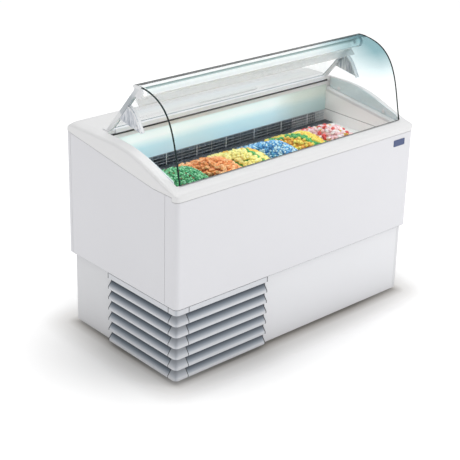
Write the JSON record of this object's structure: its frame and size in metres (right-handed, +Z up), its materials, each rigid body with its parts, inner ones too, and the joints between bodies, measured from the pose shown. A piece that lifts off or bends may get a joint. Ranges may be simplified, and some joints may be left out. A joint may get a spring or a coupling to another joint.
{
  "type": "ice cream dipping cabinet",
  "caption": "Free-standing scooping freezer: insulated white body with a row of lift-out pans, curved lift-up front glass, clear rear flap and a louvred base with the condensing unit.",
  "frame": {"origin": "on the floor, at the centre of the cabinet's footprint", "axes": "+X along the cabinet to the customer's right, +Y from the customer's front to the operator's rear, +Z up"},
  "size_m": [1.345, 0.706, 1.161],
  "materials": {
    "body_paint": "white powder coat, satin",
    "base_paint": "white powder coat, satin",
    "rim_moulding": "moulded white plastic, soft gloss",
    "grille_plastic": "moulded pale grey plastic",
    "liner_plastic": "smooth white liner",
    "foam": "rigid insulation foam",
    "frame_steel": "dark grey painted steel",
    "galvanised": "galvanised sheet",
    "stainless": "brushed stainless steel",
    "wire_chrome": "bright wire",
    "fin_aluminium": "thin fins on tubes",
    "channel_aluminium": "satin anodised",
    "canopy_white": "white coated tube",
    "glass_clear": "clear tempered glass, green edges",
    "flap_clear": "clear acrylic",
    "strip_blue": "pale blue translucent strip",
    "rail_grey": "translucent grey strip",
    "support_plastic": "light grey moulding",
    "gasket_rubber": "black seal",
    "foot_rubber": "black foot",
    "diffuser_glow": "opal light panel, pale blue glow",
    "lamp_glow": "lit tube",
    "black_plastic": "black plastic",
    "compressor_black": "black enamel",
    "badge_blue": "blank badge",
    "ice_pistachio": "frozen, rough",
    "ice_orange": "frozen, rough",
    "ice_lemon": "frozen, rough",
    "ice_blue": "frozen, rough",
    "ice_mango": "frozen, rough",
    "ice_strawberry": "frozen, rough"
  },
  "bodies": {
    "root": {"top_rim": "rim_moulding", "front_skin": "body_paint", "left_skin": "body_paint", "right_skin": "body_paint", "rear_skin": "body_paint", "inner_liner": "liner_plastic", "insulation_foam": "foam", "front_louvre_grille": "grille_plastic", "side_louvre_grille": "grille_plastic", "corner_louvre_grille": "grille_plastic", "base_frame": "frame_steel", "levelling_feet": "foot_rubber", "left_base_panel": "base_paint", "right_base_panel": "base_paint", "front_base_panel": "base_paint", "rear_base_panel": "base_paint", "control_plate": "black_plastic", "power_inlet": "black_plastic", "condenser": "fin_aluminium", "condenser_fan_shroud": "galvanised", "compressor": "compressor_black", "evaporator": "fin_aluminium", "evaporator_fan_panel": "galvanised", "air_guard_grid": "wire_chrome", "light_diffuser": "diffuser_glow", "lamp_tube": "lamp_glow", "pan_frame": "liner_plastic", "left_glass_support": "support_plastic", "right_glass_support": "support_plastic", "canopy_rail": "rail_grey", "rear_channel": "channel_aluminium", "rear_gasket": "gasket_rubber", "side_glass_strips": "strip_blue", "side_glass_buttons": "support_plastic", "blank_badge": "badge_blue"},
    "front_glass": {"curved_glass": "glass_clear", "canopy_tube": "canopy_white", "tube_gasket": "gasket_rubber", "glass_end_caps": "canopy_white"},
    "rear_flap": {"rear_flap_pane": "flap_clear", "flap_hinge_rail": "channel_aluminium", "flap_pull": "flap_clear"},
    "cooling_rocker": {"cooling_switch": "black_plastic"},
    "light_rocker": {"light_switch": "black_plastic"},
    "thermostat": {"thermostat_knob": "black_plastic"},
    "condenser_fan": {"condenser_fan_blade": "galvanised"},
    "evaporator_fan_left": {"evaporator_fan_blade_left": "black_plastic"},
    "evaporator_fan_right": {"evaporator_fan_blade_right": "black_plastic"},
    "pan_unit_1": {"pan_1": "stainless", "ice_cream_1": "ice_pistachio"},
    "pan_unit_2": {"pan_2": "stainless", "ice_cream_2": "ice_orange"},
    "pan_unit_3": {"pan_3": "stainless", "ice_cream_3": "ice_lemon"},
    "pan_unit_4": {"pan_4": "stainless", "ice_cream_4": "ice_blue"},
    "pan_unit_5": {"pan_5": "stainless", "ice_cream_5": "ice_mango"},
    "pan_unit_6": {"pan_6": "stainless", "ice_cream_6": "ice_strawberry"}
  },
  "joints": [
    {"name": "front_glass_lift", "type": "hinge", "parent": "root", "child": "front_glass", "pos_m": [0, -0.044, 1.128], "axis": [-1, 0, 0], "range_deg": [0, 60]},
    {"name": "rear_flap_lift", "type": "hinge", "parent": "root", "child": "rear_flap", "pos_m": [0, -0.00634, 1.10227], "axis": [1, 0, 0], "range_deg": [0, 85]},
    {"name": "thermostat_turn", "type": "hinge", "parent": "root", "child": "thermostat", "pos_m": [0.378, 0.333, 0.262], "axis": [0, 1, 0], "range_deg": [0, 270]},
    {"name": "cooling_rock", "type": "hinge", "parent": "root", "child": "cooling_rocker", "pos_m": [0.45, 0.331, 0.262], "axis": [1, 0, 0], "range_deg": [0, 8]},
    {"name": "light_rock", "type": "hinge", "parent": "root", "child": "light_rocker", "pos_m": [0.492, 0.331, 0.262], "axis": [1, 0, 0], "range_deg": [0, 8]},
    {"name": "condenser_fan_spin", "type": "hinge", "parent": "root", "child": "condenser_fan", "pos_m": [-0.4, -0.221, 0.17], "axis": [0, 1, 0], "continuous": true},
    {"name": "evaporator_fan_left_spin", "type": "hinge", "parent": "root", "child": "evaporator_fan_left", "pos_m": [-0.28, 0.229, 0.65], "axis": [0, 1, 0], "continuous": true},
    {"name": "evaporator_fan_right_spin", "type": "hinge", "parent": "root", "child": "evaporator_fan_right", "pos_m": [0.28, 0.229, 0.65], "axis": [0, 1, 0], "continuous": true},
    {"name": "pan_1_lift", "type": "slide", "parent": "root", "child": "pan_unit_1", "axis": [0, 0, 1], "range_m": [0, 0.15]},
    {"name": "pan_2_lift", "type": "slide", "parent": "root", "child": "pan_unit_2", "axis": [0, 0, 1], "range_m": [0, 0.15]},
    {"name": "pan_3_lift", "type": "slide", "parent": "root", "child": "pan_unit_3", "axis": [0, 0, 1], "range_m": [0, 0.15]},
    {"name": "pan_4_lift", "type": "slide", "parent": "root", "child": "pan_unit_4", "axis": [0, 0, 1], "range_m": [0, 0.15]},
    {"name": "pan_5_lift", "type": "slide", "parent": "root", "child": "pan_unit_5", "axis": [0, 0, 1], "range_m": [0, 0.15]},
    {"name": "pan_6_lift", "type": "slide", "parent": "root", "child": "pan_unit_6", "axis": [0, 0, 1], "range_m": [0, 0.15]}
  ]
}
